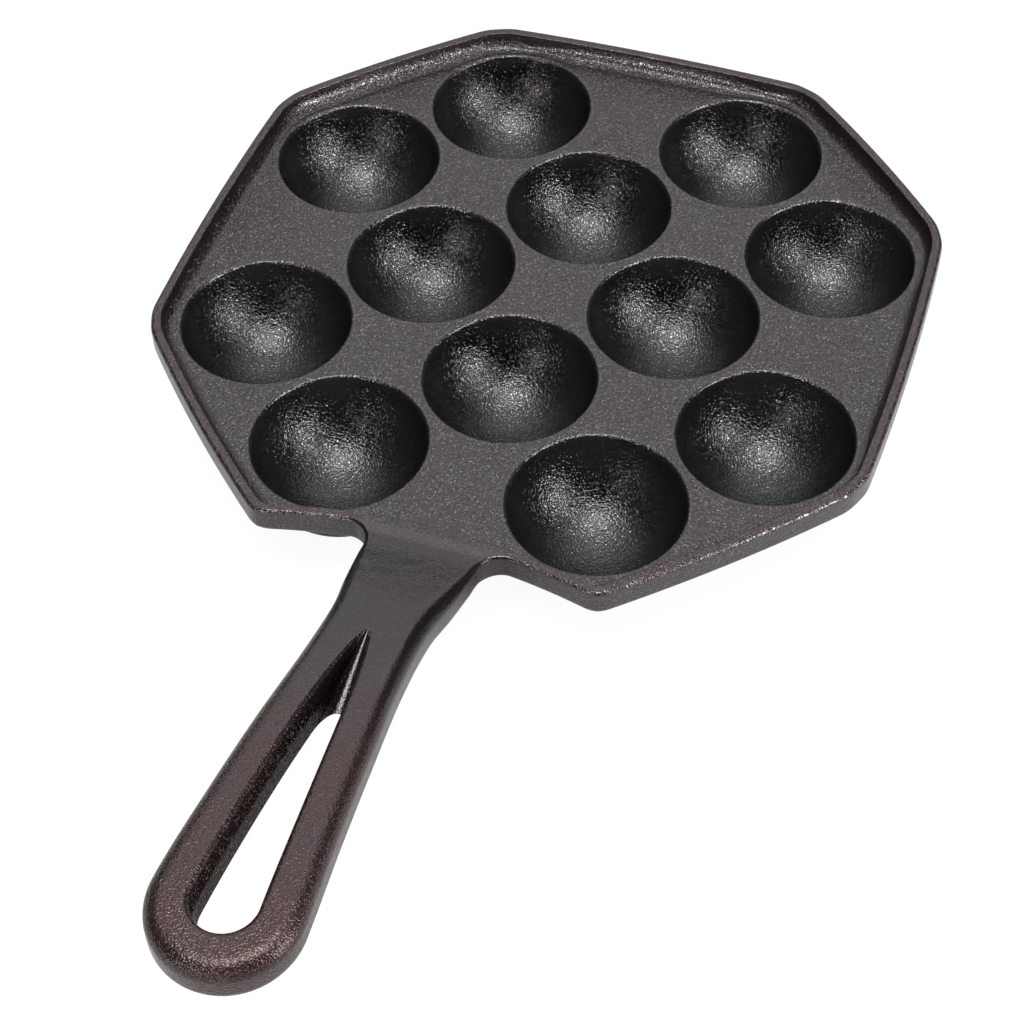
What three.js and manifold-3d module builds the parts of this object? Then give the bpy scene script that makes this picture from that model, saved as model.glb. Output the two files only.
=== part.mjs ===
// A cast-iron takoyaki pan: an octagonal griddle with twelve half-round cups, a raised rim and
// a cast-in handle with a tear-drop slot. The real pan is one casting. Here it is divided where
// its features meet: the plate, the rim, each cup and the handle touch face to face.
// Millimetres, +Z up. The pan stands on its cups at z = 0 and the handle lies along -Y.

import * as THREE from 'three';
import { mergeVertices } from 'three/addons/utils/BufferGeometryUtils.js';
import Module from 'manifold-3d';

const wasm = await Module();
wasm.setup();

// Cups. The web is the flat left between neighbouring mouths.
const grid_rows = 4;
const cup_mouth_radius = 20.9;
const cup_web = 3.2;
const cup_depth = 20;
const cup_wall = 2.9;
const cup_lip_round = 0.9;
const cup_foot_cut = 0.3;

// Plate and rim. The margins run from the cup mouths to the rim's outer face.
const plate_thickness = 2.6;
const side_margin = 6.76;
const diagonal_margin = 7.8;
const handle_side_margin = 8.26;
const corner_round = 15;
const handle_corner_round = 10;
const side_bow = 1.4;
const diagonal_bow = 1.25;
const handle_side_hollow = 5.1;
const rim_height = 4.6;
const rim_width = 2.6;
const rim_cove = 3.6;
const rim_top_round = 0.5;
const rim_bottom_round = 1.5;
const rim_foot_margin = 0.6;

// Handle, its length past the rim's wall
const handle_length = 127.3;
const handle_rise = 18.4;
const handle_thickness = 10.5;
const handle_end_half_width = 16.1;
const handle_edge_round = 4.6;
const handle_root_fillet = 6.2;
const handle_root_half_width = 13;
const handle_seat_depth = 0.6;
const handle_seat_margin = 1.5;

// Slot in the handle, its narrow end set back from the rim's wall and closed by a groove
const slot_end_radius = 7;
const slot_setback = 36.3;
const groove_length = 18.5;
const slot_edge_round = 0.8;

// One overrun serves every cut
const overrun = 2;

// Facets
const round_segments = 28;
const inside_rings = 5;
const outside_rings = 4;
const lip_segments = 2;
const corner_segments = 4;
const side_segments = 4;
const handle_side_segments = 10;
const edge_segments = 2;
const cove_segments = 4;
const handle_edge_segments = 3;
const root_fillet_segments = 6;
const handle_segments = 18;
const handle_end_segments = 8;
const slot_segments = 14;

// Cup places: a square grid less its corners, turned so that its corners face the sides
const cup_pitch = 2 * cup_mouth_radius + cup_web;
const last_row = grid_rows - 1;
const grid_turn = Math.PI / 4;
const cup_places = [];
for (let row = 0; row < grid_rows; row += 1) {
  for (let column = 0; column < grid_rows; column += 1) {
    const at_corner = (row === 0 || row === last_row) && (column === 0 || column === last_row);
    const place = [(column - last_row / 2) * cup_pitch, (last_row / 2 - row) * cup_pitch];
    if (!at_corner) cup_places.push(place);
  }
}
const turned_places = cup_places.map(([x, y]) => {
  const place = new THREE.Vector2(x, y).rotateAround(new THREE.Vector2(), grid_turn);
  return [place.x, place.y];
});

// Sizes that follow from the ones above
const cups_half_width = Math.max(...turned_places.map(([x]) => x)) + cup_mouth_radius;
const cups_half_diagonal = Math.max(...cup_places.map(([x]) => x)) + cup_mouth_radius;
const pan_half_width = cups_half_width + side_margin;
const pan_half_diagonal = cups_half_diagonal + diagonal_margin;
const handle_side_reach = cups_half_width + handle_side_margin;
const cup_sphere_radius = (cup_mouth_radius ** 2 + cup_depth ** 2) / (2 * cup_depth);
const cup_centre_height = cup_sphere_radius - cup_depth;
const cup_outer_radius = cup_sphere_radius + cup_wall;
const foot_depth = cup_outer_radius - cup_centre_height - cup_foot_cut;
const joint_inset = rim_width + rim_cove + rim_foot_margin;
const plate_middle_height = (rim_height - plate_thickness) / 2;
const pan_tall = rim_height + plate_thickness;
const handle_wall_reach = handle_side_reach - handle_side_hollow;
const handle_joint_reach = handle_wall_reach - handle_seat_depth;
const handle_reach = handle_wall_reach + handle_length;
const slot_tip_reach = handle_wall_reach + slot_setback;
const slot_through_reach = slot_tip_reach + groove_length;

// Handle shape along its length: how far along, how high and how wide, as shares of the
// handle's length, of its rise and of the half width of its round end
const along_shares = [0, 0.035, 0.12, 0.22, 0.33, 0.49, 0.66, 0.84, 1];
const rise_shares = [0, 0.015, 0.18, 0.38, 0.565, 0.777, 0.924, 1, 0.95];
const width_along_shares = [0.08, 0.16, 0.24, 0.37, 0.53, 0.69, 0.87, 1];
const width_shares = [0.8, 0.76, 0.69, 0.71, 0.81, 0.9, 1, 1];
const slot_taper_share = 0.55;
const slot_spacing_share = 1.5;
const groove_side_share = 0.9;
const thick_at_share = 0.3;

function solid(geometry) {
  const bare = geometry.clone();
  bare.deleteAttribute('normal');
  bare.deleteAttribute('uv');
  const merged = mergeVertices(bare);
  const index = merged.index.array;
  const corners = [];
  for (let i = 0; i < index.length; i += 3) {
    const [a, b, c] = [index[i], index[i + 1], index[i + 2]];
    if (a !== b && b !== c && c !== a) corners.push(a, b, c);
  }
  return new wasm.Manifold(new wasm.Mesh({
    numProp: 3,
    vertProperties: new Float32Array(merged.attributes.position.array),
    triVerts: new Uint32Array(corners),
  }));
}

function geometry_of(body) {
  const mesh = body.getMesh();
  const geometry = new THREE.BufferGeometry();
  geometry.setAttribute('position', new THREE.BufferAttribute(new Float32Array(mesh.vertProperties), 3));
  geometry.setIndex(new THREE.BufferAttribute(new Uint32Array(mesh.triVerts), 1));
  return geometry;
}

// A smooth curve through values given at rising places, read at one place
function smooth_value(places, values, place) {
  const points = places.map((at, i) => new THREE.Vector2(at, values[i]));
  let left = 0;
  while (left < places.length - 2 && place > places[left + 1]) left += 1;
  const slope = (i) => {
    if (i === 0) return (values[1] - values[0]) / (places[1] - places[0]);
    if (i === places.length - 1) return (values[i] - values[i - 1]) / (places[i] - places[i - 1]);
    return (points[i + 1].y - points[i - 1].y) / (points[i + 1].x - points[i - 1].x);
  };
  const span = places[left + 1] - places[left];
  const t = THREE.MathUtils.clamp((place - places[left]) / span, 0, 1);
  const rise = slope(left) * span;
  const fall = slope(left + 1) * span;
  return (2 * t ** 3 - 3 * t ** 2 + 1) * values[left] + (t ** 3 - 2 * t ** 2 + t) * rise
    + (3 * t ** 2 - 2 * t ** 3) * values[left + 1] + (t ** 3 - t ** 2) * fall;
}

// Arc points round a centre, from one angle to another, both ends included
function arc(centre_x, centre_y, radius, from, to, segments) {
  const points = [];
  for (let i = 0; i <= segments; i += 1) {
    const angle = from + (to - from) * i / segments;
    points.push([centre_x + radius * Math.cos(angle), centre_y + radius * Math.sin(angle)]);
  }
  return points;
}

// The pan's outline from above: eight slightly bowed sides, the one at the handle hollow.
// Each side is a line at its reach from the middle, followed by its rounded corner.
function pan_sides(inset) {
  return [0, 1, 2, 3, 4, 5, 6, 7].map((i) => {
    const angle = i * Math.PI / 4;
    const normal = new THREE.Vector2(Math.cos(angle), Math.sin(angle));
    const along = new THREE.Vector2(-normal.y, normal.x);
    const radius = (i === 5 || i === 6 ? handle_corner_round : corner_round) - inset;
    if (i === 6) {
      const reach = handle_side_reach - inset;
      return { normal, along, radius, reach, bow: -handle_side_hollow, segments: handle_side_segments };
    }
    const bow = i % 2 === 1 ? diagonal_bow : side_bow;
    const reach = (i % 2 === 1 ? pan_half_diagonal : pan_half_width) - bow - inset;
    return { normal, along, radius, reach, bow, segments: side_segments };
  });
}

function side_corner(a, b) {
  const cross = a.normal.x * b.normal.y - a.normal.y * b.normal.x;
  return new THREE.Vector2(
    (a.reach * b.normal.y - b.reach * a.normal.y) / cross,
    (b.reach * a.normal.x - a.reach * b.normal.x) / cross,
  );
}

// The outline drawn in by an inset, as one ring of points that starts beside the +X side's corner
function pan_outline(inset) {
  const sides = pan_sides(inset);
  const corners = sides.map((side, i) => side_corner(side, sides[(i + 1) % sides.length]));
  const setback = Math.tan(Math.PI / 8);
  const straight = [];
  sides.forEach((side, i) => {
    const last = (i + sides.length - 1) % sides.length;
    const from = corners[last].clone().addScaledVector(side.along, sides[last].radius * setback);
    const to = corners[i].clone().addScaledVector(side.along, -side.radius * setback);
    for (let k = 1; k < side.segments; k += 1) straight.push(from.clone().lerp(to, k / side.segments));
    const centre = to.clone().addScaledVector(side.normal, -side.radius);
    const start = side.normal.angle();
    arc(centre.x, centre.y, side.radius, start, start + Math.PI / 4, corner_segments)
      .forEach(([x, y]) => straight.push(new THREE.Vector2(x, y)));
  });
  return straight.map((point) => {
    const moved = point.clone();
    sides.forEach((side, i) => {
      const from = corners[(i + sides.length - 1) % sides.length].dot(side.along);
      const to = corners[i].dot(side.along);
      const share = (2 * point.dot(side.along) - from - to) / (to - from);
      const on_side = point.dot(side.normal) > 0 && Math.abs(share) < 1;
      if (on_side) moved.addScaledVector(side.normal, side.bow * (1 - share ** 2));
    });
    return moved;
  });
}

// Rings of points joined into one closed skin. Each ring is a list of [x, y, z]. The last ring
// joins the first one when the skin is a closed tube, and flat lids close it otherwise.
function skin(rings, closed_tube, lid_faces) {
  const count = rings[0].length;
  const positions = rings.flat(2);
  const faces = [];
  const spans = closed_tube ? rings.length : rings.length - 1;
  for (let r = 0; r < spans; r += 1) {
    const next = (r + 1) % rings.length;
    for (let i = 0; i < count; i += 1) {
      const j = (i + 1) % count;
      const [a, b, c, d] = [r * count + i, r * count + j, next * count + j, next * count + i];
      faces.push(a, b, c, a, c, d);
    }
  }
  if (!closed_tube) {
    const top = (rings.length - 1) * count;
    lid_faces.forEach(([a, b, c]) => faces.push(top + a, top + b, top + c, a, c, b));
  }
  const geometry = new THREE.BufferGeometry();
  geometry.setAttribute('position', new THREE.BufferAttribute(new Float32Array(positions), 3));
  geometry.setIndex(faces);
  return geometry;
}

// Rim: a profile of insets and heights carried round the outline
function rim_geometry() {
  const quarter = Math.PI / 2;
  const profile = [
    [joint_inset, 0],
    [joint_inset, -plate_thickness],
    ...arc(rim_bottom_round, rim_bottom_round - plate_thickness, rim_bottom_round, -quarter, -2 * quarter,
      edge_segments),
    ...arc(rim_top_round, rim_height - rim_top_round, rim_top_round, 2 * quarter, quarter, edge_segments),
    ...arc(rim_width - rim_top_round, rim_height - rim_top_round, rim_top_round, quarter, 0, edge_segments),
    ...arc(rim_width + rim_cove, rim_cove, rim_cove, 2 * quarter, 3 * quarter, cove_segments),
  ];
  const rings = profile.map(([inset, height]) => pan_outline(inset).map((p) => [p.x, p.y, height]));
  return skin(rings, true);
}

function plate_geometry() {
  const shape = new THREE.Shape(pan_outline(joint_inset));
  const geometry = new THREE.ExtrudeGeometry(shape, { depth: plate_thickness, bevelEnabled: false });
  geometry.translate(0, 0, -plate_thickness);
  return geometry;
}

// Cup hollow: the half-round inside with its rounded lip, open upwards
function sphere_points(radius, from_height, to_height, rings) {
  const angle = (height) => Math.asin((height - cup_centre_height) / radius);
  const points = [];
  for (let i = 0; i <= rings; i += 1) {
    const at = angle(from_height) + (angle(to_height) - angle(from_height)) * i / rings;
    points.push(new THREE.Vector2(radius * Math.cos(at), cup_centre_height + radius * Math.sin(at)));
  }
  return points;
}

function revolve(points) {
  const geometry = new THREE.LatheGeometry(points, round_segments);
  geometry.rotateX(Math.PI / 2);
  return geometry;
}

function bowl_inside() {
  const points = sphere_points(cup_sphere_radius, -cup_depth, -plate_thickness, inside_rings);
  points[0].x = 0;
  return points;
}

function hollow_geometry() {
  const lip = arc(cup_mouth_radius + cup_lip_round, -cup_lip_round, cup_lip_round, Math.PI, Math.PI / 2,
    lip_segments);
  const points = [
    ...bowl_inside(),
    ...lip.map(([x, y]) => new THREE.Vector2(x, y)),
    new THREE.Vector2(cup_mouth_radius + cup_lip_round, overrun),
    new THREE.Vector2(0, overrun),
  ];
  return revolve(points);
}

// Cup: the bowl below the plate, with a small flat foot
function bowl_geometry() {
  const outside = sphere_points(cup_outer_radius, -foot_depth, -plate_thickness, outside_rings);
  return revolve([new THREE.Vector2(0, -foot_depth), ...outside, ...bowl_inside().reverse()]);
}

// Handle: height and thickness of its middle plane, and its half width, by distance from the middle
function handle_share(reach) {
  return (reach - handle_wall_reach) / handle_length;
}

function handle_middle(reach) {
  const share = Math.max(handle_share(reach), 0);
  return plate_middle_height + handle_rise * smooth_value(along_shares, rise_shares, share);
}

function handle_growth(reach) {
  return THREE.MathUtils.smoothstep(handle_share(reach), 0, thick_at_share);
}

function handle_half_width(reach) {
  return handle_end_half_width * smooth_value(width_along_shares, width_shares, handle_share(reach));
}

// How far out the rim's wall lies on the handle's side, by distance from the handle's middle
function wall_reach(x) {
  const sides = pan_sides(0);
  const side_half_length = -side_corner(sides[5], sides[6]).x;
  return handle_wall_reach + handle_side_hollow * (x / side_half_length) ** 2;
}

// Half of the handle's outline, from the rim to the middle of its round end: [half width, reach]
function handle_side() {
  const fillet_half_width = handle_root_half_width + handle_root_fillet;
  const fillet_reach = wall_reach(fillet_half_width) + handle_root_fillet;
  const side = [[fillet_half_width, handle_joint_reach - overrun], [fillet_half_width, handle_wall_reach]];
  side.push(...arc(fillet_half_width, fillet_reach, handle_root_fillet, -Math.PI / 2, -Math.PI,
    root_fillet_segments));
  const end_reach = handle_reach - handle_end_half_width;
  for (let i = 1; i <= handle_segments; i += 1) {
    const reach = fillet_reach + (end_reach - fillet_reach) * i / handle_segments;
    side.push([handle_half_width(reach), reach]);
  }
  side.push(...arc(0, end_reach, handle_end_half_width, 0, Math.PI / 2, handle_end_segments).slice(1));
  side[side.length - 1][0] = 0;
  return side;
}

// A closed outline from one half: down the left side and back up the right one
function mirrored(half) {
  const left = half.map(([x, reach]) => new THREE.Vector2(-x, -reach));
  const right = half.slice(0, -1).reverse().map(([x, reach]) => new THREE.Vector2(x, -reach));
  return [...left, ...right];
}

// The lids join the two halves of such an outline, rung by rung, so that they keep its curve
function rungs(count, facing_first) {
  const faces = [];
  const across = (i) => (facing_first - i + count) % count;
  for (let i = 0; i < Math.floor(count / 2); i += 1) {
    const [a, b, c, d] = [i, i + 1, across(i + 1), across(i)];
    if (a !== d) faces.push([a, b, d]);
    if (b !== c) faces.push([b, c, d]);
  }
  return faces;
}

function outward(outline, i) {
  const before = outline[Math.max(i - 1, 0)];
  const after = outline[Math.min(i + 1, outline.length - 1)];
  const along = after.clone().sub(before).normalize();
  return new THREE.Vector2(along.y, -along.x);
}

function handle_body() {
  const outline = mirrored(handle_side());
  const quarter = Math.PI / 2;
  const ring = (low, angle) => outline.map((point, i) => {
    const root_round = low ? rim_bottom_round : rim_top_round;
    const round = root_round + (handle_edge_round - root_round) * handle_growth(-point.y);
    const moved = point.clone().addScaledVector(outward(outline, i), round * (Math.cos(angle) - 1));
    const half = (pan_tall + (handle_thickness - pan_tall) * handle_growth(-moved.y)) / 2;
    const height = (half - round) * (low ? -1 : 1) + round * Math.sin(angle);
    return [moved.x, moved.y, handle_middle(-moved.y) + height];
  });
  const rings = [];
  for (let i = 0; i <= handle_edge_segments; i += 1) {
    rings.push(ring(true, quarter * (i / handle_edge_segments - 1)));
  }
  for (let i = 0; i <= handle_edge_segments; i += 1) {
    rings.push(ring(false, quarter * i / handle_edge_segments));
  }
  return solid(skin(rings, false, rungs(outline.length, outline.length - 1)));
}

// Slot: a tear-drop hole, which a sloping vee floor closes at its narrow end
function slot_outline() {
  const end_reach = handle_reach - handle_end_half_width;
  const half = [];
  for (let i = 0; i <= slot_segments; i += 1) {
    const share = (i / slot_segments) ** slot_spacing_share;
    const reach = slot_tip_reach + (end_reach - slot_tip_reach) * share;
    half.push([slot_end_radius * share ** slot_taper_share, reach]);
  }
  half.push(...arc(0, end_reach, slot_end_radius, 0, Math.PI / 2, handle_end_segments).slice(1));
  half[half.length - 1][0] = 0;
  return mirrored(half).slice(0, -1);
}

function slot_hole() {
  const outline = slot_outline();
  const level = (inset, height) => outline.map((point, i) => {
    const before = outline[(i + outline.length - 1) % outline.length];
    const after = outline[(i + 1) % outline.length];
    const along = after.clone().sub(before).normalize();
    return [point.x - along.y * inset, point.y + along.x * inset, handle_middle(-point.y) + height];
  });
  const half = handle_thickness / 2;
  const rings = [
    level(0, -half - overrun),
    level(0, half - slot_edge_round),
    level(-slot_edge_round, half),
    level(-slot_edge_round, half + overrun),
  ];
  return solid(skin(rings, false, rungs(outline.length, outline.length)));
}

function groove_floor() {
  const top = handle_middle(slot_tip_reach) + handle_thickness / 2;
  const bottom = handle_middle(slot_through_reach) - handle_thickness / 2;
  const run = slot_through_reach - slot_tip_reach;
  const length = Math.hypot(run, top - bottom);
  const wide = handle_root_half_width;
  const vee = new THREE.Shape([
    new THREE.Vector2(0, 0),
    new THREE.Vector2(-wide, wide * groove_side_share),
    new THREE.Vector2(-wide, -handle_thickness),
    new THREE.Vector2(wide, -handle_thickness),
    new THREE.Vector2(wide, wide * groove_side_share),
  ]);
  const geometry = new THREE.ExtrudeGeometry(vee, { depth: length, bevelEnabled: false });
  geometry.rotateX(Math.PI / 2 + Math.atan2(top - bottom, run));
  geometry.translate(0, -slot_tip_reach, top);
  return solid(geometry);
}

// The rim and the handle are cast in one and parted by flat cuts just inside the rim's wall
const root_width = 2 * (handle_root_half_width + handle_root_fillet + handle_seat_margin);
const root_block = new THREE.BoxGeometry(root_width, handle_reach, handle_reach);
root_block.translate(0, -handle_joint_reach - handle_reach / 2, 0);
const pan_side = solid(rim_geometry()).add(handle_body().subtract(slot_hole().subtract(groove_floor())));
const hollow = solid(hollow_geometry());

function without_hollows(body, nearby) {
  return nearby.reduce((rest, [x, y]) => rest.subtract(hollow.translate([x, y, 0])), body);
}

const cast_iron = {
  plate: { color: 0x4a4649, roughness: 0.62, metalness: 0.35 },
  rim: { color: 0x4c4446, roughness: 0.6, metalness: 0.35 },
  cup: { color: 0x1d1b1d, roughness: 0.45, metalness: 0.4 },
  handle: { color: 0x47424a, roughness: 0.65, metalness: 0.35 },
};

function piece(name, geometry, finish) {
  const mesh = new THREE.Mesh(geometry, new THREE.MeshStandardMaterial(finish));
  mesh.name = name;
  return mesh;
}

const takoyaki_pan = new THREE.Group();
const plate = without_hollows(solid(plate_geometry()), turned_places);
const rim = without_hollows(pan_side.subtract(solid(root_block)), turned_places);
takoyaki_pan.add(piece('griddle_plate', geometry_of(plate), cast_iron.plate));
takoyaki_pan.add(piece('rim', geometry_of(rim), cast_iron.rim));
takoyaki_pan.add(piece('handle', geometry_of(pan_side.intersect(solid(root_block))), cast_iron.handle));

// A bowl ends where its neighbour's square of the grid begins
const cup_grid = new THREE.Group();
cup_grid.rotation.z = grid_turn;
const grid_square = solid(new THREE.BoxGeometry(cup_pitch, cup_pitch, cup_pitch));
const bowl = solid(bowl_geometry());
cup_places.forEach(([x, y], i) => {
  const others = cup_places.filter((place, other) => other !== i);
  const squares = others.map(([u, v]) => grid_square.translate([u - x, v - y, 0]));
  const body = squares.reduce((rest, square) => rest.subtract(square), bowl);
  const cup = piece(`cup_${String(i + 1).padStart(2, '0')}`, geometry_of(body), cast_iron.cup);
  cup.position.set(x, y, 0);
  cup_grid.add(cup);
});
takoyaki_pan.add(cup_grid);
takoyaki_pan.position.set(0, (handle_reach - pan_half_width) / 2, foot_depth);

export default takoyaki_pan;
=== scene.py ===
import math
import bpy
from mathutils import Matrix, Vector


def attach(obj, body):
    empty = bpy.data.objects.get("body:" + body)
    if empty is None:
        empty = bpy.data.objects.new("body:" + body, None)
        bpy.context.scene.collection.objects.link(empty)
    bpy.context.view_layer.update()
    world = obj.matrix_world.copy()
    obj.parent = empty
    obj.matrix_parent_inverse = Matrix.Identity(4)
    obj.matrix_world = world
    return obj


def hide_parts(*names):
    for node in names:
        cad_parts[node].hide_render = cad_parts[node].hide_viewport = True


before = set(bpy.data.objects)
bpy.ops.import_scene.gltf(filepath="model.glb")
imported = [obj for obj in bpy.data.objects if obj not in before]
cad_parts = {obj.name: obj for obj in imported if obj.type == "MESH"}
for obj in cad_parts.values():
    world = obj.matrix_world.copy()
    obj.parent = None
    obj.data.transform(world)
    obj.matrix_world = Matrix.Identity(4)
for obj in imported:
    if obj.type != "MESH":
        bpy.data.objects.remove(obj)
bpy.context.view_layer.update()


# The griddle: an octagonal cast-iron plate with a raised rim, which carries the twelve cups.
# It is sand cast in one with them, and its top is left with the grain of the mould. The
# sizes are millimetres from the middle of the griddle's top face, with the handle along -Y.
mouth_radius = 20.9
web = 3.2
plate_thickness = 2.6
side_reach = 91.3
diagonal_reach = 96.2
handle_side_reach = 93.3
side_bow = 1.4
diagonal_bow = 1.25
handle_side_hollow = 5.6
corner_round = 15
handle_corner_round = 8.5
rim_height = 4.6
rim_width = 2.6
rim_cove = 3.6
rim_outer_round = 1.0
rim_inner_round = 0.3
rim_bottom_round = 1.5
lip_round = 0.9
seat_radius = mouth_radius + lip_round + 0.3
seat_gap = 0.12
round_steps = 64
side_steps = 14
corner_steps = 9
spur_steps = 8
joint_half_width = 19.2
joint_columns = 10
weld_distance = 0.002
smooth_angle = 35
side_turn = 45
pan_place = Vector((0, 0.06185, 0.0226))
millimetre = 0.001
pitch = 2 * mouth_radius + web

cup_places = []
for row in range(4):
    for column in range(4):
        if row in (0, 3) and column in (0, 3):
            continue
        square = Vector(((column - 1.5) * pitch, (1.5 - row) * pitch))
        cup_places.append(Matrix.Rotation(math.radians(45), 2) @ square)


def arc(centre, radius, start, end, steps):
    """Points along part of a circle, between two angles in degrees."""
    points = []
    for i in range(steps + 1):
        angle = math.radians(start + (end - start) * i / steps)
        points.append((centre[0] + radius * math.cos(angle), centre[1] + radius * math.sin(angle)))
    return points


def rim_line(inset):
    """The right half of the pan's outline drawn in by an inset, from the far side to the handle."""
    sides = []
    for angle, reach, bow in (
        (90, side_reach - side_bow, side_bow),
        (45, diagonal_reach - diagonal_bow, diagonal_bow),
        (0, side_reach - side_bow, side_bow),
        (-45, diagonal_reach - diagonal_bow, diagonal_bow),
        (-90, handle_side_reach, -handle_side_hollow),
    ):
        normal = Vector((math.cos(math.radians(angle)), math.sin(math.radians(angle))))
        sides.append([normal, Vector((normal.y, -normal.x)), reach - inset, bow, angle])
    corners = []
    for (a, _, reach_a, _, _), (b, _, reach_b, _, _) in zip(sides, sides[1:]):
        cross = a.x * b.y - a.y * b.x
        x = (reach_a * b.y - reach_b * a.y) / cross
        y = (reach_b * a.x - reach_a * b.x) / cross
        corners.append(Vector((x, y)))
    radii = [corner_round - inset] * 3 + [handle_corner_round - inset]
    setback = math.tan(math.radians(side_turn / 2))
    handle_side = len(sides) - 1
    points = []
    for i, (normal, along, reach, bow, angle) in enumerate(sides):
        start = corners[i - 1] + along * radii[i - 1] * setback if i else Vector((0, reach))
        if i == handle_side:
            side = Vector((joint_half_width, start.y))
            middle = Vector((0, start.y))
            points += [start.lerp(side, k / spur_steps) for k in range(1, spur_steps)]
            points += [side.lerp(middle, k / joint_columns) for k in range(joint_columns + 1)]
            break
        end = corners[i] - along * radii[i] * setback
        steps = side_steps if i else side_steps // 2
        points += [start.lerp(end, k / steps) for k in range(0 if i == 0 else 1, steps)]
        centre = end - normal * radii[i]
        corner = arc(centre, radii[i], angle, angle - side_turn, corner_steps)
        points += [Vector(point) for point in corner]
    bowed = []
    for point in points:
        moved = point.copy()
        for i, (normal, along, reach, bow, angle) in enumerate(sides):
            first = corners[i - 1].dot(along) if i else -corners[0].dot(along)
            last = corners[i].dot(along) if i < handle_side else -first
            share = (2 * point.dot(along) - first - last) / (last - first)
            if point.dot(normal) > 0 and abs(share) < 1:
                moved += normal * bow * (1 - share ** 2)
        bowed.append(moved)
    return bowed


def sheet(rows, columns, place):
    """A grid of quads whose corners are set where place(row, column) says."""
    bpy.ops.object.select_all(action="DESELECT")
    bpy.ops.mesh.primitive_grid_add(x_subdivisions=columns - 1, y_subdivisions=rows - 1, size=2)
    made = bpy.context.object
    for corner in made.data.vertices:
        column = round((corner.co.x + 1) / 2 * (columns - 1))
        row = round((corner.co.y + 1) / 2 * (rows - 1))
        corner.co = place(row, column)
    return made


def joined(name, parts):
    """Joins meshes into one piece and welds the corners where they meet."""
    bpy.ops.object.select_all(action="DESELECT")
    for part in parts:
        part.select_set(True)
    bpy.context.view_layer.objects.active = parts[0]
    bpy.ops.object.join()
    whole = bpy.context.object
    whole.name = name
    whole.data.name = name
    bpy.ops.object.mode_set(mode="EDIT")
    bpy.ops.mesh.select_all(action="SELECT")
    bpy.ops.mesh.remove_doubles(threshold=weld_distance)
    bpy.ops.object.mode_set(mode="OBJECT")
    return whole


def mirrored(half):
    """Adds the left half of a piece to its right half."""
    other_half = half.modifiers.new("other half", "MIRROR")
    other_half.merge_threshold = weld_distance
    bpy.ops.object.modifier_apply(modifier=other_half.name)


def close_flat(piece, height):
    """Closes the open loop at one height with a flat face."""
    bpy.ops.object.mode_set(mode="EDIT")
    bpy.ops.mesh.select_mode(type="EDGE")
    bpy.ops.mesh.select_all(action="DESELECT")
    bpy.ops.mesh.select_non_manifold(extend=False, use_wire=True, use_boundary=True,
                                     use_multi_face=False, use_non_contiguous=False,
                                     use_verts=False)
    bpy.ops.object.mode_set(mode="OBJECT")
    corners = piece.data.vertices
    for edge in piece.data.edges:
        away = max(abs(corners[i].co.z - height) for i in edge.vertices)
        edge.select = edge.select and away < weld_distance / 2
    for corner in corners:
        corner.select = False
    for edge in piece.data.edges:
        if edge.select:
            corners[edge.vertices[0]].select = corners[edge.vertices[1]].select = True
    bpy.ops.object.mode_set(mode="EDIT")
    bpy.ops.mesh.edge_face_add()
    bpy.ops.mesh.select_all(action="SELECT")
    bpy.ops.mesh.normals_make_consistent(inside=False)
    bpy.ops.object.mode_set(mode="OBJECT")


def finished(piece):
    """Turns the faces outwards, smooths all but the sharp edges and sets the piece in its place."""
    bpy.ops.object.select_all(action="DESELECT")
    piece.select_set(True)
    bpy.context.view_layer.objects.active = piece
    bpy.ops.object.mode_set(mode="EDIT")
    bpy.ops.mesh.select_all(action="SELECT")
    bpy.ops.mesh.normals_make_consistent(inside=False)
    bpy.ops.object.mode_set(mode="OBJECT")
    bpy.ops.object.shade_smooth_by_angle(angle=math.radians(smooth_angle))
    weighted = piece.modifiers.new("even shading", "WEIGHTED_NORMAL")
    weighted.keep_sharp = True
    bpy.ops.object.modifier_apply(modifier=weighted.name)
    piece.scale = (millimetre, millimetre, millimetre)
    piece.location = pan_place
    bpy.ops.object.transform_apply(location=True, rotation=True, scale=True)


# The rim's section, as (inset, height): its outer edge, its side and its lower edge
rim_edge_steps = 5
rim_foot_steps = 6
outer_profile = (
    arc((rim_outer_round, rim_height - rim_outer_round), rim_outer_round, 90, 180, rim_edge_steps)
    + [(0, 3), (0, 1.5), (0, 0)]
    + arc((rim_bottom_round, rim_bottom_round - plate_thickness), rim_bottom_round, 180, 270,
          rim_foot_steps)
)
crown_inset = rim_width - rim_inner_round
rings = {inset: rim_line(inset) for inset, _ in outer_profile}
rings[crown_inset] = rim_line(crown_inset)
ring_count = len(rings[0])
joint_index = ring_count - 1 - joint_columns


def outer_wall(row, column):
    """The rim from its crown over the outer edge and down its side."""
    inset, height = ([(crown_inset, rim_height)] + outer_profile)[row]
    point = rings[inset][column]
    return (point.x, point.y, height)


# The cove under the rim narrows where a cup's seat comes close to it
wall_ring = rim_line(rim_width)
foot_ring = rim_line(rim_width + rim_cove)
foot_shares = []
for wall, foot in zip(wall_ring, foot_ring):
    share = 1.0
    for place in cup_places:
        line = foot - wall
        away = wall - place
        near = seat_radius + seat_gap
        b = line.dot(away) / line.length_squared
        c = (away.length_squared - near ** 2) / line.length_squared
        if b * b - c > 0 and -b - math.sqrt(b * b - c) > 0:
            share = min(share, -b - math.sqrt(b * b - c))
    foot_shares.append(share)
crown_steps = 4
cove_steps = 9
crown_centre = (crown_inset, rim_height - rim_inner_round)
inner_profile = arc(crown_centre, rim_inner_round, 90, 0, crown_steps)


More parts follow.
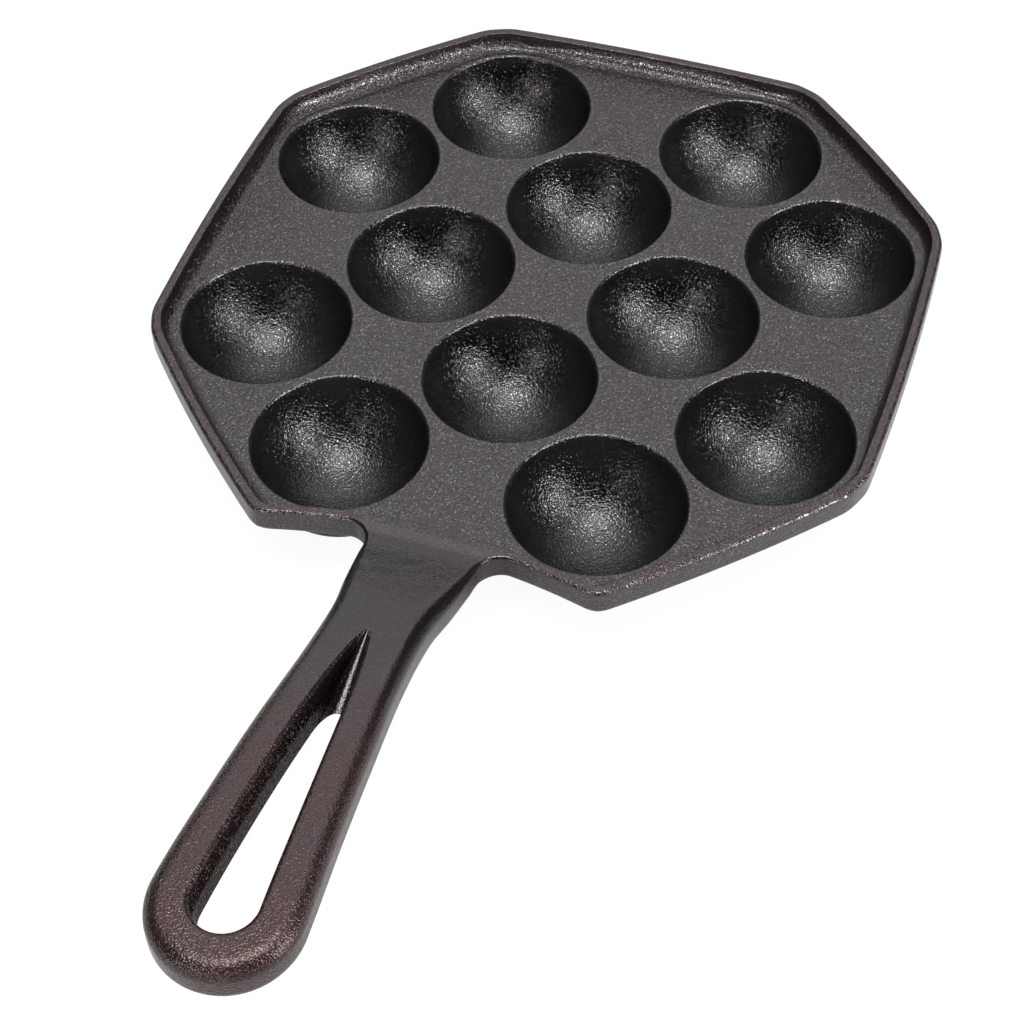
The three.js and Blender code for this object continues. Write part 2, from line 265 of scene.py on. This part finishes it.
def inner_wall(row, column):
    """The rim's inner edge and the cove from its foot to the griddle's top."""
    if row <= crown_steps:
        inset, height = inner_profile[row]
        share = (inset - crown_inset) / (rim_width - crown_inset)
        point = rings[crown_inset][column].lerp(wall_ring[column], share)
        return (point.x, point.y, height)
    radius = rim_cove * foot_shares[column]
    angle = math.radians(180 + 90 * (row - crown_steps - 1) / cove_steps)
    share = (1 + math.cos(angle)) * foot_shares[column]
    point = wall_ring[column].lerp(foot_ring[column], share)
    return (point.x, point.y, radius + radius * math.sin(angle))


def root_top(row, column):
    """The flat of the rim between its crown and the joint with the handle."""
    crown = rings[crown_inset][ring_count - 1 - column]
    edge_y = rings[rim_outer_round][joint_index].y
    edge = Vector((joint_half_width * column / joint_columns, edge_y))
    point = crown.lerp(edge, row)
    return (point.x, point.y, rim_height)


def joint(row, column):
    """The hidden face inside the iron where the griddle's mesh ends and the handle's begins."""
    inset, height = outer_profile[row]
    y = rings[inset][joint_index].y
    return (joint_half_width * column / joint_columns, y, height)


griddle = joined("pan_griddle", [
    sheet(len(outer_profile) + 1, joint_index + 1, outer_wall),
    sheet(crown_steps + cove_steps + 2, ring_count, inner_wall),
    sheet(2, joint_columns + 1, root_top),
    sheet(len(outer_profile), joint_columns + 1, joint),
])
mirrored(griddle)
close_flat(griddle, 0)
close_flat(griddle, -plate_thickness)
seat_depth = 8
seat_overrun = 1
cutters = []
for place in cup_places:
    bpy.ops.object.select_all(action="DESELECT")
    bpy.ops.mesh.primitive_cylinder_add(vertices=round_steps, radius=seat_radius, depth=seat_depth,
                                        location=(place.x, place.y, seat_overrun - seat_depth / 2))
    bpy.ops.object.transform_apply(location=True)
    cutters.append(bpy.context.object)
cutter = joined("seats", cutters)
bpy.context.view_layer.objects.active = griddle
seats = griddle.modifiers.new("cup seats", "BOOLEAN")
seats.operation = "DIFFERENCE"
seats.solver = "EXACT"
seats.object = cutter
bpy.ops.object.modifier_apply(modifier=seats.name)
bpy.data.objects.remove(cutter)
finished(griddle)
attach(griddle, "root")
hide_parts("griddle_plate", "rim")


# The handle: cast iron, cast in one with the rim. It rises from the rim, narrows and widens
# again to a round end. A tear-drop slot for a hook goes through it, and a round-bottomed
# groove runs out of the slot's narrow end towards the pan.
wall_reach = handle_side_reach - handle_side_hollow
handle_reach = 215
handle_length = handle_reach - wall_reach
handle_rise = 18.38
handle_thickness = 10.5
pan_tall = rim_height + plate_thickness
end_half_width = 16.1
end_reach = handle_reach - end_half_width
top_edge_round = 3.9
low_edge_round = 3.4
root_half_width = 13.3
root_fillet = joint_half_width - root_half_width
slot_end_radius = 7.0
slot_tip_reach = 124
slot_through_reach = 142.5
slot_edge_round = 1.4
slot_draft = 0.5
slot_taper = 0.57
slot_round_start = 0.1
slot_round_share = 0.42
slot_draft_share = 0.35
groove_round_share = 1.15
growth_share = 0.22
along_shares = [0, 0.035, 0.12, 0.22, 0.33, 0.49, 0.66, 0.84, 1]
rise_shares = [0, 0.015, 0.18, 0.38, 0.565, 0.777, 0.924, 1, 0.95]
width_along_shares = [0.08, 0.16, 0.24, 0.37, 0.53, 0.69, 0.87, 1]
width_shares = [0.82, 0.77, 0.697, 0.715, 0.81, 0.9, 1, 1]


def smooth_value(places, values, place):
    """A smooth curve through values given at rising places, read at one place."""
    left = 0
    while left < len(places) - 2 and place > places[left + 1]:
        left += 1
    last = len(places) - 1
    slopes = []
    for i in (left, left + 1):
        before, after = max(i - 1, 0), min(i + 1, last)
        slopes.append((values[after] - values[before]) / (places[after] - places[before]))
    span = places[left + 1] - places[left]
    t = min(max((place - places[left]) / span, 0), 1)
    return ((2 * t ** 3 - 3 * t ** 2 + 1) * values[left]
            + (t ** 3 - 2 * t ** 2 + t) * slopes[0] * span
            + (3 * t ** 2 - 2 * t ** 3) * values[left + 1]
            + (t ** 3 - t ** 2) * slopes[1] * span)


def middle_height(reach):
    share = max((reach - wall_reach) / handle_length, 0)
    rise = handle_rise * smooth_value(along_shares, rise_shares, share)
    return (rim_height - plate_thickness) / 2 + rise


def growth(reach):
    """How far the handle has gone over from the rim's edges and thickness to its own."""
    t = min(max((reach - wall_reach) / handle_length / growth_share, 0), 1)
    return t * t * (3 - 2 * t)


def half_thickness(reach):
    return (pan_tall + (handle_thickness - pan_tall) * growth(reach)) / 2


def top(reach):
    return middle_height(reach) + half_thickness(reach)


def bottom(reach):
    return middle_height(reach) - half_thickness(reach)


def half_width(reach):
    share = (reach - wall_reach) / handle_length
    return end_half_width * smooth_value(width_along_shares, width_shares, share)


# Stations along the handle: its outer side, and the slot's side where there is one
neck_steps = 24
groove_stations = 22
arm_stations = 36
end_steps = 24
groove_crowding = 1.6
arm_crowding = 1.4
tip_gap = 0.4
fillet_reach = -rings[0][joint_index].y + root_fillet
neck_length = slot_tip_reach - tip_gap - fillet_reach
groove_length = slot_through_reach - slot_tip_reach
arm_length = end_reach - slot_through_reach
outer_side = []
slot_side = []
for angle in (-90, -91, -94, -100, -107, -115, -124, -134, -144, -154, -164, -172, -180):
    x = joint_half_width + root_fillet * math.cos(math.radians(angle))
    outer_side.append(Vector((x, fillet_reach + root_fillet * math.sin(math.radians(angle)))))
    slot_side.append(None)
for i in range(1, neck_steps):
    reach = fillet_reach + neck_length * i / neck_steps
    outer_side.append(Vector((half_width(reach), reach)))
    slot_side.append(None)
tip_station = len(outer_side)
through_station = tip_station + groove_stations
slot_reaches = [slot_tip_reach + groove_length * (i / groove_stations) ** groove_crowding
                for i in range(groove_stations + 1)]
slot_reaches += [slot_through_reach + arm_length * (i / arm_stations) ** arm_crowding
                 for i in range(1, arm_stations + 1)]
for reach in slot_reaches:
    share = (reach - slot_tip_reach) / (end_reach - slot_tip_reach)
    outer_side.append(Vector((half_width(reach), reach)))
    slot_side.append(Vector((slot_end_radius * share ** slot_taper, reach)))
end_station = len(outer_side)
for i in range(1, end_steps + 1):
    angle = math.radians(90 * i / end_steps)
    direction = Vector((math.cos(angle), math.sin(angle)))
    outer_side.append(Vector((0, end_reach)) + direction * end_half_width)
    slot_side.append(Vector((0, end_reach)) + direction * slot_end_radius)
outer_side[-1].x = slot_side[-1].x = 0
station_count = len(outer_side)


def outward(side, i, first):
    """Square to a side of the handle at one station, away from the middle."""
    if i == len(side) - 1:
        return Vector((0, 1))
    if i == first:
        return Vector((0, -1))
    along = side[i + 1] - side[i - 1]
    return Vector((along.y, -along.x)).normalized()


edge_steps = 9
edge_angles = [90 - 90 * i / edge_steps for i in range(edge_steps + 1)]
low_angles = [-90 * i / edge_steps for i in range(edge_steps + 1)]
edge_rows = len(edge_angles) + 1 + len(low_angles)


def handle_edge(row, station):
    """The rounded outer side of the handle, from its top face over the edge to its underside."""
    upper = row <= edge_steps
    if row == edge_steps + 1:
        above = Vector(handle_edge(row - 1, station))
        return above.lerp(Vector(handle_edge(row + 1, station)), 0.5)
    angle = math.radians(edge_angles[row] if upper else low_angles[row - edge_steps - 2])
    start = rim_outer_round if upper else rim_bottom_round
    end = top_edge_round if upper else low_edge_round
    reach = outer_side[station].y
    if station == 0:
        radius = start
        point = Vector((joint_half_width, reach + radius * (math.cos(angle) - 1)))
        half = pan_tall / 2
        middle = (rim_height - plate_thickness) / 2
    else:
        radius = start + (end - start) * growth(reach)
        normal = outward(outer_side, station, -1)
        point = outer_side[station] + normal * radius * (math.cos(angle) - 1)
        half = half_thickness(point.y)
        middle = middle_height(point.y)
    sign = 1 if upper else -1
    return (point.x, -point.y, middle + sign * (half - radius) + radius * math.sin(angle))


def slot_edge(station):
    """Where the handle's flat top ends at the slot, or the middle line where there is no slot."""
    if slot_side[station] is None:
        return Vector((0, -handle_edge(0, station)[1]))
    normal = outward(slot_side, station, tip_station)
    return slot_side[station] + normal * slot_rounding(station)


def slot_rounding(station):
    """Radius of the slot's upper edge, smaller where the slot is narrow."""
    if station >= end_station:
        return slot_edge_round
    return min(slot_edge_round, slot_round_start + slot_round_share * slot_side[station].x)


def slot_foot(station):
    """Where the slot's wall ends below: it leans in a little on the way down."""
    lean = slot_draft
    if station < end_station:
        lean = min(slot_draft, slot_draft_share * slot_side[station].x)
    return slot_side[station] - outward(slot_side, station, tip_station) * lean


def handle_top(station, column):
    """The handle's top face, from the middle line or the slot's edge to the outer edge."""
    x, y, _ = handle_edge(0, station)
    point = slot_edge(station).lerp(Vector((x, -y)), column / joint_columns)
    return (point.x, -point.y, top(point.y) if station else rim_height)


def groove_line(reach):
    """Height of the deepest line of the groove, which runs down to the underside."""
    fall = bottom(slot_through_reach) - top(slot_tip_reach)
    return top(slot_tip_reach) + fall * (reach - slot_tip_reach) / groove_length


def opening_angle(station):
    """How far round the groove's floor is there before the underside cuts it, in degrees."""
    foot = slot_foot(station)
    if station <= through_station:
        return 90.0
    rise = groove_round_share * foot.x
    depth = bottom(foot.y) - groove_line(foot.y)
    return math.degrees(math.asin(1 - depth / rise)) if depth < rise else 0.0


def slot_opening(station):
    """The side of the hole on the handle's underside."""
    foot = slot_foot(station)
    if station in (through_station, station_count - 1):
        return Vector((0, foot.y))
    return Vector((foot.x * math.cos(math.radians(opening_angle(station))), foot.y))


slot_edge_steps = 7
slot_wall_steps = 8
groove_steps = 12
slot_steps = slot_edge_steps + slot_wall_steps + groove_steps


def slot_wall(station, row):
    """From the top face over the slot's edge, down its wall and round the groove's floor."""
    i = tip_station + station
    foot = slot_foot(i)
    rounding = slot_rounding(i)
    rise = groove_round_share * foot.x
    low = max(bottom(foot.y), groove_line(foot.y) + rise)
    if row <= slot_edge_steps:
        angle = math.radians(90 * (1 - row / slot_edge_steps))
        point = slot_side[i] + outward(slot_side, i, tip_station) * rounding * (1 - math.cos(angle))
        height = max(top(point.y) - rounding * (1 - math.sin(angle)), low)
    elif row <= slot_edge_steps + slot_wall_steps:
        share = (row - slot_edge_steps) / slot_wall_steps
        point = slot_side[i].lerp(foot, share)
        high = top(point.y) - rounding
        height = high + (min(low, high) - high) * share
        height = max(height, low)
    else:
        share = (row - slot_edge_steps - slot_wall_steps) / groove_steps
        angle = math.radians(opening_angle(i) * share)
        point = Vector((foot.x * math.cos(angle), foot.y))
        if row == slot_steps and i > tip_station:
            point = slot_opening(i) if i >= through_station else Vector((0, foot.y))
        height = max(groove_line(foot.y) + rise * (1 - math.sin(angle)), bottom(foot.y))
    return (point.x, -point.y, min(height, top(point.y)))


def handle_under(station, column):
    """The handle's underside, from the middle line or the hole to the outer edge."""
    x, y, _ = handle_edge(edge_rows - 1, station)
    if slot_side[station] is None:
        inner = Vector((0, -y))
    elif station < through_station:
        inner = Vector((0, slot_foot(station).y))
    else:
        inner = slot_opening(station)
    point = inner.lerp(Vector((x, -y)), column / joint_columns)
    return (point.x, -point.y, bottom(point.y) if station else -plate_thickness)


def handle_joint(row, column):
    """The hidden face that meets the griddle's own."""
    _, y, z = handle_edge(row, 0)
    return (joint_half_width * column / joint_columns, y, z)


handle = joined("pan_handle", [
    sheet(edge_rows, station_count, handle_edge),
    sheet(station_count, joint_columns + 1, handle_top),
    sheet(station_count - tip_station, slot_steps + 1, slot_wall),
    sheet(station_count, joint_columns + 1, handle_under),
    sheet(edge_rows, joint_columns + 1, handle_joint),
])
mirrored(handle)
finished(handle)
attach(handle, "root")
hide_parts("handle")


# The cups: twelve half-round hollows of cast iron, cast in one with the griddle. Each has a
# rounded lip, an even wall and a small flat foot, and next to its neighbours its wall runs
# into theirs.
cup_depth = 20
cup_wall = 2.9
foot_cut = 0.3
cup_waist = 0.966
sphere_radius = (mouth_radius ** 2 + cup_depth ** 2) / (2 * cup_depth)
sphere_height = sphere_radius - cup_depth
outer_radius = sphere_radius + cup_wall
foot_height = sphere_height - outer_radius + foot_cut
neighbour_reach = pitch * 1.2
inside_steps = 18
lip_steps = 6
outside_steps = 14


def sphere_heights(radius, low, high, steps):
    """Radius and height of rings that part a sphere evenly between two heights."""
    start = math.degrees(math.asin((low - sphere_height) / radius))
    end = math.degrees(math.asin((high - sphere_height) / radius))
    return arc((0, sphere_height), radius, start, end, steps)


# A cup's section, as (radius, height), from next to the bottom of the hollow up to the lip,
# down its seat in the plate and down the outside to the foot
inside = sphere_heights(sphere_radius, -cup_depth, -plate_thickness, inside_steps)[1:]
lip = arc((mouth_radius + lip_round, -lip_round), lip_round, 180, 90, lip_steps)
outside = sphere_heights(outer_radius, foot_height, -plate_thickness, outside_steps)[::-1]
outside = [(radius * cup_waist, height) for radius, height in outside]
cup_profile = inside + lip + [(seat_radius, 0), (seat_radius, -plate_thickness)] + outside

bpy.ops.object.select_all(action="DESELECT")
first_radius, first_height = cup_profile[0]
bpy.ops.mesh.primitive_circle_add(vertices=round_steps, radius=first_radius,
                                  location=(0, 0, first_height))
bpy.ops.object.transform_apply(location=True)
first_cup = bpy.context.object
bpy.ops.object.mode_set(mode="EDIT")
bpy.ops.mesh.select_all(action="SELECT")
for (r0, z0), (r1, z1) in zip(cup_profile, cup_profile[1:]):
    bpy.ops.mesh.extrude_edges_move(TRANSFORM_OT_translate={"value": (0, 0, z1 - z0)})
    bpy.ops.transform.resize(value=(r1 / r0, r1 / r0, 1), center_override=(0, 0, 0))
bpy.ops.mesh.extrude_edges_move(TRANSFORM_OT_translate={"value": (0, 0, 0)})
bpy.ops.mesh.merge(type="CENTER")
bpy.ops.object.mode_set(mode="OBJECT")

# The hollow's lowest ring is drawn down to one point
for corner in first_cup.data.vertices:
    corner.select = abs(corner.co.z - first_height) < weld_distance / 4
bpy.ops.object.mode_set(mode="EDIT")
bpy.ops.mesh.select_mode(type="VERT")
last_step = (0, 0, -cup_depth - first_height)
bpy.ops.mesh.extrude_edges_move(TRANSFORM_OT_translate={"value": last_step})
bpy.ops.mesh.merge(type="CENTER")
bpy.ops.object.mode_set(mode="OBJECT")

cups = []
for number, place in enumerate(cup_places, start=1):
    cup = first_cup.copy()
    cup.data = first_cup.data.copy()
    cup.name = cup.data.name = f"pan_cup_{number:02d}"
    bpy.context.collection.objects.link(cup)
    bpy.ops.object.select_all(action="DESELECT")
    cup.select_set(True)
    bpy.context.view_layer.objects.active = cup
    cup.location = (place.x, place.y, 0)
    bpy.ops.object.transform_apply(location=True)
    for other in cup_places:
        gap = other - place
        if 0 < gap.length < neighbour_reach:
            cut = place + gap / 2
            bpy.ops.object.mode_set(mode="EDIT")
            bpy.ops.mesh.select_all(action="SELECT")
            bpy.ops.mesh.bisect(plane_co=(cut.x, cut.y, 0), plane_no=(gap.x, gap.y, 0),
                                use_fill=True, clear_outer=True)
            bpy.ops.object.mode_set(mode="OBJECT")
    finished(cup)
    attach(cup, "root")
    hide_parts(f"cup_{number:02d}")
    cups.append(cup)
bpy.data.objects.remove(first_cup)


# The finish: black cast iron with oil baked on to it. The grain of the sand mould shows
# through the oil, strongest on the griddle and in the cups, and the handle is worn smoother
# near the pan and browner towards its end.
def node(tree, kind, inputs=(), **settings):
    """Adds a shader node, with its settings, and with its inputs set or linked."""
    made = tree.nodes.new(kind)
    for name, value in settings.items():
        setattr(made, name, value)
    for socket, value in dict(inputs).items():
        if isinstance(value, bpy.types.NodeSocket):
            tree.links.new(value, made.inputs[socket])
        else:
            made.inputs[socket].default_value = value
    return made


def effect(name, inputs, outputs):
    """An empty node group with named inputs, as (kind, value), and named outputs."""
    tree = bpy.data.node_groups.new(name, "ShaderNodeTree")
    for label, (kind, value) in inputs.items():
        socket = tree.interface.new_socket(name=label, in_out="INPUT",
                                           socket_type="NodeSocket" + kind)
        socket.default_value = value
    for label, kind in outputs.items():
        tree.interface.new_socket(name=label, in_out="OUTPUT", socket_type="NodeSocket" + kind)
    return tree, tree.nodes.new("NodeGroupInput").outputs, tree.nodes.new("NodeGroupOutput").inputs


def maths(tree, operation, *values):
    """The result of a sum on numbers or sockets."""
    return node(tree, "ShaderNodeMath", enumerate(values), operation=operation).outputs[0]


def fade(tree, value, start, end, low=0.0, high=1.0):
    """Goes smoothly from low to high as the value goes from start to end."""
    ends = {"Value": value, "From Min": start, "From Max": end, "To Min": low, "To Max": high}
    return node(tree, "ShaderNodeMapRange", ends, interpolation_type="SMOOTHSTEP").outputs[0]


# Mould grain: fine round grains over a slow swell of the surface
grain, given, result = effect(
    "mould grain",
    {"Place": ("Vector", (0, 0, 0)), "Grains a metre": ("Float", 2150.0),
     "Bareness": ("Float", 0.0), "Strength": ("Float", 1.0)},
    {"Height": "Float"},
)
crinkle = node(grain, "ShaderNodeTexNoise", {
    "Vector": given["Place"], "Scale": given["Grains a metre"], "Detail": 0.8, "Roughness": 0.4,
    "Distortion": 0.2})
bare = maths(grain, "MULTIPLY_ADD", given["Bareness"], 0.3, 0.24)
pebbles = fade(grain, crinkle.outputs[0], bare, 0.8)
strong = maths(grain, "MULTIPLY", pebbles, given["Strength"])
swell = node(grain, "ShaderNodeTexNoise", {"Vector": given["Place"], "Scale": 90.0, "Detail": 2.0})
grain.links.new(maths(grain, "MULTIPLY_ADD", swell.outputs[0], 2.5, strong), result["Height"])

# Baked oil: black with brown patches and flecks, and small specks that glint
oil, given, result = effect(
    "baked oil",
    {"Place": ("Vector", (0, 0, 0)), "Black": ("Color", (0.008, 0.007, 0.008, 1)),
     "Brown": ("Color", (0.018, 0.01, 0.01, 1)), "Black sheen": ("Color", (1, 1, 1, 1)),
     "Brown sheen": ("Color", (1, 1, 1, 1)), "Browning": ("Float", 0.5),
     "Dullness": ("Float", 0.2), "Glinting": ("Float", 0.7)},
    {"Color": "Color", "Sheen": "Color", "Roughness": "Float", "Glint": "Float"},
)
patches = node(oil, "ShaderNodeTexNoise", {
    "Vector": given["Place"], "Scale": 70.0, "Detail": 5.0, "Roughness": 0.6})
flecks = node(oil, "ShaderNodeTexNoise", {
    "Vector": given["Place"], "Scale": 1400.0, "Detail": 1.0})
patchy = fade(oil, patches.outputs[0], 0.35, 0.65, -0.25, 0.25)
flecked = fade(oil, flecks.outputs[0], 0.45, 0.75, -0.1, 0.5)
browned = maths(oil, "ADD", maths(oil, "ADD", given["Browning"], patchy), flecked)
for black, brown, mixed in (("Black", "Brown", "Color"), ("Black sheen", "Brown sheen", "Sheen")):
    ends = {0: browned, 6: given[black], 7: given[brown]}
    blend = node(oil, "ShaderNodeMix", ends, data_type="RGBA")
    oil.links.new(blend.outputs[2], result[mixed])
specks = node(oil, "ShaderNodeTexNoise", {
    "Vector": given["Place"], "Scale": 2500.0, "Detail": 0.0})
glints = fade(oil, specks.outputs[0], 0.62, 0.72)
oil.links.new(maths(oil, "MULTIPLY", glints, given["Glinting"]), result["Glint"])
worn = fade(oil, patches.outputs[0], 0.3, 0.7, -0.03, 0.04)
oil.links.new(maths(oil, "ADD", given["Dullness"], worn), result["Roughness"])


def iron(name, sheen_level, dullness, **colours):
    """A new iron finish, with its shader, its places in the pan and both effects wired in."""
    made = bpy.data.materials.new(name)
    made.use_nodes = True
    tree = made.node_tree
    spot = node(tree, "ShaderNodeTexCoord")
    split = node(tree, "ShaderNodeSeparateXYZ", {0: spot.outputs["Object"]}).outputs
    tone = node(tree, "ShaderNodeGroup", node_tree=oil)
    rough = node(tree, "ShaderNodeGroup", node_tree=grain)
    tree.links.new(spot.outputs["Object"], tone.inputs["Place"])
    tree.links.new(spot.outputs["Object"], rough.inputs["Place"])
    for label, colour in colours.items():
        tone.inputs[label.replace("_", " ").capitalize()].default_value = (*colour, 1)
    tone.inputs["Dullness"].default_value = dullness
    bump = node(tree, "ShaderNodeBump", {
        "Height": rough.outputs["Height"], "Distance": 0.0001, "Strength": 1.0})
    shader = tree.nodes["Principled BSDF"]
    shine = maths(tree, "ADD", tone.outputs["Glint"], sheen_level)
    tree.links.new(shine, shader.inputs["Specular IOR Level"])
    tree.links.new(tone.outputs["Color"], shader.inputs["Base Color"])
    tree.links.new(tone.outputs["Sheen"], shader.inputs["Specular Tint"])
    tree.links.new(tone.outputs["Roughness"], shader.inputs["Roughness"])
    tree.links.new(bump.outputs[0], shader.inputs["Normal"])
    return made, tree, spot, split, tone, rough, shader, shine


# The griddle is smoother next to the handle, and its crown and its edges are browner
griddle_iron, tree, spot, (across, along, up), tone, rough, _, _ = iron(
    "griddle iron", sheen_level=0.62, dullness=0.15,
    black=(0.006, 0.005, 0.006), brown=(0.010, 0.0065, 0.007),
    black_sheen=(1.0, 0.94, 1.0), brown_sheen=(1.0, 0.85, 0.88))
rough.inputs["Bareness"].default_value = 0.5
root_middle = (0, -0.049, 0.0226)
from_root = node(tree, "ShaderNodeVectorMath", {0: spot.outputs["Object"], 1: root_middle},
                 operation="DISTANCE").outputs["Value"]
flat = fade(tree, from_root, 0.02, 0.036, 0.35, 1.1)
tree.links.new(fade(tree, from_root, 0.02, 0.036, 0.3, 0.75), tone.inputs["Glinting"])
crest = fade(tree, up, 0.0250, 0.0270)
blend = node(tree, "ShaderNodeMix", {0: crest, 2: flat, 3: 1.0}).outputs[0]
tree.links.new(blend, rough.inputs["Strength"])
beside = fade(tree, maths(tree, "ABSOLUTE", across), 0.015, 0.022)
beyond = fade(tree, along, -0.022, -0.012)
crown = maths(tree, "MULTIPLY_ADD", crest, 0.8, 0.1)
off_root = maths(tree, "MAXIMUM", beside, beyond)
tree.links.new(maths(tree, "MULTIPLY", crown, off_root), tone.inputs["Browning"])

# The cups are the blackest part, and brown a little towards their lips
cup_iron, tree, _, (_, _, up), tone, rough, _, _ = iron(
    "cup iron", sheen_level=0.63, dullness=0.14,
    black=(0.003, 0.003, 0.0032), brown=(0.007, 0.0065, 0.007),
    black_sheen=(1.0, 0.99, 1.0), brown_sheen=(1.0, 0.95, 0.98))
tree.links.new(fade(tree, up, 0.015, 0.0226, 1.0, 0.85), rough.inputs["Strength"])
tree.links.new(fade(tree, up, 0.02, 0.0226, 0.0, 1.0), tone.inputs["Browning"])

# The handle browns towards its end, and its grain is roughest in the slot and the groove
handle_iron, tree, spot, (across, along, up), tone, rough, shader, shine = iron(
    "handle iron", sheen_level=0.67, dullness=0.24,
    black=(0.005, 0.0042, 0.005), brown=(0.011, 0.006, 0.0055),
    black_sheen=(1.0, 0.94, 1.0), brown_sheen=(0.95, 0.7, 0.7))
tree.links.new(fade(tree, along, -0.05, -0.12, 0.6, 0.1), rough.inputs["Bareness"])
tree.links.new(fade(tree, along, -0.05, -0.13, 0.1, 1.0), tone.inputs["Browning"])
tree.links.new(fade(tree, along, -0.04, -0.09, 0.15, 0.24), tone.inputs["Dullness"])
tone.inputs["Glinting"].default_value = 0.3
facing = node(tree, "ShaderNodeSeparateXYZ", {0: spot.outputs["Normal"]}).outputs[2]
level = maths(tree, "ABSOLUTE", facing)
aside = maths(tree, "ABSOLUTE", across)
inside = fade(tree, aside, 0.0075, 0.0105, 1.8, 0.5)
sides = maths(tree, "MULTIPLY", fade(tree, level, 0.5, 0.94, 1.0, 0.0), inside)
flat = fade(tree, along, -0.05, -0.12, 0.3, 0.9)
tree.links.new(maths(tree, "MAXIMUM", sides, flat), rough.inputs["Strength"])

# Painted shade: the shine is taken off the slot's steep walls, which face the shadowed floor under
# the handle, most of all just under the handle's top, which is an arch that is highest near the
# handle's end
steep = fade(tree, level, 0.2, 0.5, 1.0, 0.0)
within = fade(tree, aside, 0.0085, 0.0095, 0.5, 0.0)
before_end = fade(tree, along, -0.147, -0.146)
arch_height = 0.0473
arch_reach = 0.138
arch_fall = 1.65
away = maths(tree, "POWER", maths(tree, "ADD", along, arch_reach), 2.0)
face = maths(tree, "SUBTRACT", arch_height, maths(tree, "MULTIPLY", away, arch_fall))
depth = maths(tree, "SUBTRACT", face, up)
steep = maths(tree, "MULTIPLY", steep, fade(tree, depth, 0.0045, 0.007, 0.94, 0.8))
painted_slot_shade = maths(tree, "MULTIPLY", maths(tree, "MULTIPLY", steep, within), before_end)

# Painted shade: less shine on the rounded shoulders and, before the end, the flanks, so they look
# darker
flank = fade(tree, along, -0.178, -0.165, 0.15, 0.23)
shoulder_dimming = fade(tree, level, 0.0, 0.4, flank, 0.3)
painted_shoulder_shade = maths(tree, "MULTIPLY", shoulder_dimming, fade(tree, level, 0.95, 0.75))
# The painted shade of the slot and of the shoulders is taken off the shine
shine = maths(tree, "SUBTRACT", maths(tree, "SUBTRACT", shine, painted_slot_shade), painted_shoulder_shade)
tree.links.new(shine, shader.inputs["Specular IOR Level"])

finishes = [(griddle, griddle_iron), (handle, handle_iron)] + [(cup, cup_iron) for cup in cups]
for piece, finish in finishes:
    piece.data.materials.clear()
    piece.data.materials.append(finish)


# The studio: a plain white table, soft boxes overhead, behind and to the sides, and the
# camera, which looks down on the pan from beyond the handle's end and a little to the right.
bpy.ops.object.select_all(action="DESELECT")
bpy.ops.mesh.primitive_plane_add(size=8, location=(0, 0, 0))
table = bpy.context.object
table.name = "table"
white = bpy.data.materials.new("white table")
white.use_nodes = True
board = white.node_tree.nodes["Principled BSDF"]
board.inputs["Base Color"].default_value = (0.55, 0.55, 0.55, 1)
board.inputs["Roughness"].default_value = 0.9
glow = node(white.node_tree, "ShaderNodeEmission", {"Color": (1, 1, 1, 1), "Strength": 1.1})
sight = node(white.node_tree, "ShaderNodeLightPath").outputs["Is Camera Ray"]
share = fade(white.node_tree, sight, 0.0, 1.0, 0.0, 0.85)
paper = node(white.node_tree, "ShaderNodeMixShader", {
    0: share, 1: board.outputs[0], 2: glow.outputs[0]})
white.node_tree.links.new(paper.outputs[0], white.node_tree.nodes["Material Output"].inputs[0])
table.data.materials.append(white)

pan_middle = Vector((0, 0.03, 0.02))
for name, azimuth, elevation, distance, width, height, power in (
    ("overhead box", 15, 73, 1.3, 0.9, 0.55, 17),
    ("ceiling", 200, 80, 1.6, 3.0, 2.8, 23),
    ("side box", 77, 18, 1.3, 0.42, 0.9, 23),
    ("front strip", -18, 12, 1.4, 0.22, 0.7, 11),
    ("back box", 197, 40, 1.6, 1.7, 1.8, 9),
):
    a, e = math.radians(azimuth), math.radians(elevation)
    direction = Vector((math.sin(a) * math.cos(e), -math.cos(a) * math.cos(e), math.sin(e)))
    light = bpy.data.lights.new(name, "AREA")
    light.shape = "RECTANGLE"
    light.size, light.size_y = width, height
    light.energy = power
    box = bpy.data.objects.new(name, light)
    box.location = pan_middle + direction * distance
    box.rotation_euler = (-direction).to_track_quat("-Z", "Y").to_euler()
    bpy.context.collection.objects.link(box)

world = bpy.data.worlds.new("studio")
world.use_nodes = True
room = world.node_tree
back = room.nodes["Background"]
seen = node(room, "ShaderNodeLightPath").outputs["Is Camera Ray"]
room.links.new(fade(room, seen, 0.0, 1.0, 0.03, 0.9), back.inputs["Strength"])
back.inputs["Color"].default_value = (1, 1, 1, 1)
bpy.context.scene.world = world
bpy.context.scene.view_settings.view_transform = "Standard"

camera = bpy.data.objects.new("camera", bpy.data.cameras.new("camera"))
camera.data.lens = 81.58
camera.data.sensor_width = 36
right = Vector((0.94718, 0.32003, -0.02075))
up = Vector((-0.23162, 0.72740, 0.64595))
look = Vector((-0.22182, 0.60701, -0.76310))
turn = Matrix((right, up, -look)).transposed().to_4x4()
camera.matrix_world = Matrix.Translation((0.13228, -0.33345, 0.42889)) @ turn
bpy.context.collection.objects.link(camera)
bpy.context.scene.camera = camera
